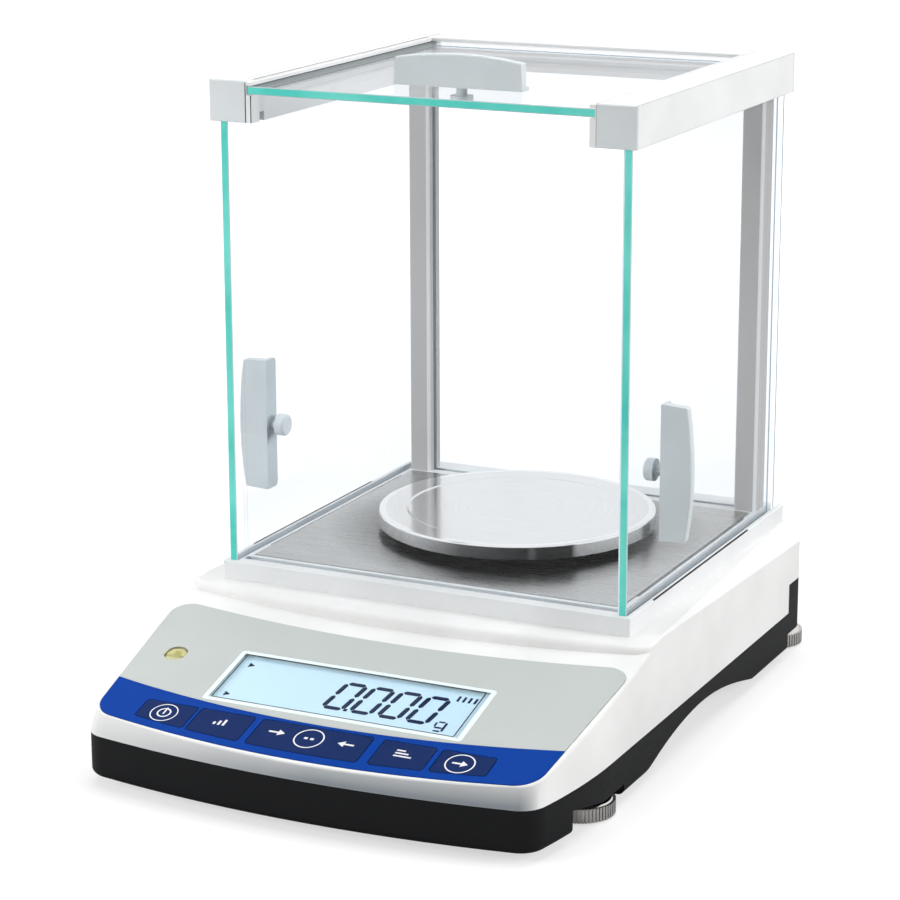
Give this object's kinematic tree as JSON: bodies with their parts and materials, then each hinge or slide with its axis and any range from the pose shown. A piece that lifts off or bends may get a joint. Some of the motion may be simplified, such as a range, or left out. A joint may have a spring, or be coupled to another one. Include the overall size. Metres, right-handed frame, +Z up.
{
  "type": "precision scale",
  "caption": "Laboratory precision scale with a round steel pan inside a glass draft shield with sliding doors, sloping display and key panel, and levelling feet.",
  "frame": {"origin": "centre of the footprint on the table, midway between the front of the body and the rear edge of the rear feet", "axes": "+Z up, -Y towards the user and the control panel, +X to the user's right"},
  "size_m": [0.2264, 0.3286, 0.3001],
  "materials": {
    "base_black": "fine grain, dark",
    "shell_white": "satin white",
    "ledge_grey": "satin light grey",
    "floor_steel": "brushed",
    "film_grey": "satin film",
    "film_blue": "satin film",
    "key_blue": "satin",
    "window_clear": "clear",
    "display_pale": "lit pale blue",
    "segment_blue": "dark blue",
    "board_green": "solder mask",
    "screw_steel": "zinc plated",
    "level_clear": "clear moulding",
    "level_liquid": "yellow liquid",
    "shield_glass": "polished edges",
    "rail_white": "satin white",
    "cap_grey": "satin grey",
    "post_grey": "satin grey",
    "handle_grey": "satin grey",
    "strip_dark": "matte dark",
    "pan_steel": "brushed, polished rim",
    "carrier_alu": "cast",
    "cell_alu": "machined",
    "pad_rubber": "matte",
    "wheel_metal": "knurled rim",
    "socket_black": "moulded",
    "port_steel": "plated"
  },
  "bodies": {
    "base": {"base_tray": "base_black", "top_housing": "shell_white", "chamber_ledge": "ledge_grey", "chamber_floor": "floor_steel", "display_film": "film_grey", "key_film": "film_blue", "lcd_window": "window_clear", "lcd_module": "display_pale", "lcd_segments": "segment_blue", "panel_board": "board_green", "board_screws": "screw_steel", "level_cup": "level_clear", "level_liquid": "level_liquid", "rear_beam": "rail_white", "rear_strip": "rail_white", "front_glass": "shield_glass", "rear_glass": "shield_glass", "load_cell": "cell_alu", "load_cell_bracket": "cell_alu", "main_board": "board_green", "power_socket": "socket_black", "serial_port": "port_steel", "housing_screws": "screw_steel", "left_rail": "rail_white", "left_front_cap": "cap_grey", "left_rear_cap": "cap_grey", "left_glass_guide": "rail_white", "left_post": "post_grey", "left_track_strip": "strip_dark", "right_rail": "rail_white", "right_front_cap": "cap_grey", "right_rear_cap": "cap_grey", "right_glass_guide": "rail_white", "right_post": "post_grey", "right_track_strip": "strip_dark"},
    "left_door": {"left_door_glass": "shield_glass", "left_handle": "handle_grey", "left_knob": "handle_grey"},
    "right_door": {"right_door_glass": "shield_glass", "right_handle": "handle_grey", "right_knob": "handle_grey"},
    "top_door": {"top_door_glass": "shield_glass", "top_handle": "handle_grey", "top_knob": "handle_grey"},
    "carrier": {"pan_carrier": "carrier_alu"},
    "pan": {"weighing_pan": "pan_steel"},
    "key_power": {"key_power": "key_blue"},
    "key_cal": {"key_cal": "key_blue"},
    "key_tare": {"key_tare": "key_blue"},
    "key_unit": {"key_unit": "key_blue"},
    "key_print": {"key_print": "key_blue"},
    "pad_front_left": {"pad_front_left": "pad_rubber"},
    "wheel_front_left": {"wheel_front_left": "wheel_metal"},
    "pad_front_right": {"pad_front_right": "pad_rubber"},
    "wheel_front_right": {"wheel_front_right": "wheel_metal"},
    "pad_rear_left": {"pad_rear_left": "pad_rubber"},
    "wheel_rear_left": {"wheel_rear_left": "wheel_metal"},
    "pad_rear_right": {"pad_rear_right": "pad_rubber"},
    "wheel_rear_right": {"wheel_rear_right": "wheel_metal"}
  },
  "joints": [
    {"name": "left_door_slide", "type": "slide", "parent": "base", "child": "left_door", "axis": [0, 1, 0], "range_m": [0, 0.125]},
    {"name": "right_door_slide", "type": "slide", "parent": "base", "child": "right_door", "axis": [0, 1, 0], "range_m": [0, 0.125]},
    {"name": "top_door_slide", "type": "slide", "parent": "base", "child": "top_door", "axis": [0, 1, 0], "range_m": [0, 0.13]},
    {"name": "pan_deflection", "type": "slide", "parent": "base", "child": "carrier", "axis": [0, 0, -1], "range_m": [0, 0.0005], "stiffness_N_per_m": 20000, "springref_m": -0.0002},
    {"name": "pan_lift", "type": "slide", "parent": "carrier", "child": "pan", "axis": [0, 0, 1], "range_m": [0, 0.06]},
    {"name": "key_power_press", "type": "slide", "parent": "base", "child": "key_power", "axis": [0, 0.2597, -0.9657], "range_m": [0, 0.0006], "stiffness_N_per_m": 1500, "springref_m": -0.0004},
    {"name": "key_cal_press", "type": "slide", "parent": "base", "child": "key_cal", "axis": [0, 0.2597, -0.9657], "range_m": [0, 0.0006], "stiffness_N_per_m": 1500, "springref_m": -0.0004},
    {"name": "key_tare_press", "type": "slide", "parent": "base", "child": "key_tare", "axis": [0, 0.2597, -0.9657], "range_m": [0, 0.0006], "stiffness_N_per_m": 1500, "springref_m": -0.0004},
    {"name": "key_unit_press", "type": "slide", "parent": "base", "child": "key_unit", "axis": [0, 0.2597, -0.9657], "range_m": [0, 0.0006], "stiffness_N_per_m": 1500, "springref_m": -0.0004},
    {"name": "key_print_press", "type": "slide", "parent": "base", "child": "key_print", "axis": [0, 0.2597, -0.9657], "range_m": [0, 0.0006], "stiffness_N_per_m": 1500, "springref_m": -0.0004},
    {"name": "foot_slide_front_left", "type": "slide", "parent": "base", "child": "pad_front_left", "axis": [0, 0, -1], "range_m": [0, 0.005]},
    {"name": "wheel_turn_front_left", "type": "hinge", "parent": "pad_front_left", "child": "wheel_front_left", "pos_m": [-0.0982, -0.094, 0.005], "axis": [0, 0, -1], "range_deg": [0, 1801]},
    {"name": "foot_slide_front_right", "type": "slide", "parent": "base", "child": "pad_front_right", "axis": [0, 0, -1], "range_m": [0, 0.005]},
    {"name": "wheel_turn_front_right", "type": "hinge", "parent": "pad_front_right", "child": "wheel_front_right", "pos_m": [0.0982, -0.094, 0.005], "axis": [0, 0, -1], "range_deg": [0, 1801]},
    {"name": "foot_slide_rear_left", "type": "slide", "parent": "base", "child": "pad_rear_left", "axis": [0, 0, -1], "range_m": [0, 0.005]},
    {"name": "wheel_turn_rear_left", "type": "hinge", "parent": "pad_rear_left", "child": "wheel_rear_left", "pos_m": [-0.0952, 0.1493, 0.005], "axis": [0, 0, -1], "range_deg": [0, 1801]},
    {"name": "foot_slide_rear_right", "type": "slide", "parent": "base", "child": "pad_rear_right", "axis": [0, 0, -1], "range_m": [0, 0.005]},
    {"name": "wheel_turn_rear_right", "type": "hinge", "parent": "pad_rear_right", "child": "wheel_rear_right", "pos_m": [0.0952, 0.1493, 0.005], "axis": [0, 0, -1], "range_deg": [0, 1801]}
  ],
  "couplings": [
    {"joint": "wheel_turn_front_left", "follows": "foot_slide_front_left", "rad_per_m": 6283.2},
    {"joint": "wheel_turn_front_right", "follows": "foot_slide_front_right", "rad_per_m": 6283.2},
    {"joint": "wheel_turn_rear_left", "follows": "foot_slide_rear_left", "rad_per_m": 6283.2},
    {"joint": "wheel_turn_rear_right", "follows": "foot_slide_rear_right", "rad_per_m": 6283.2}
  ]
}
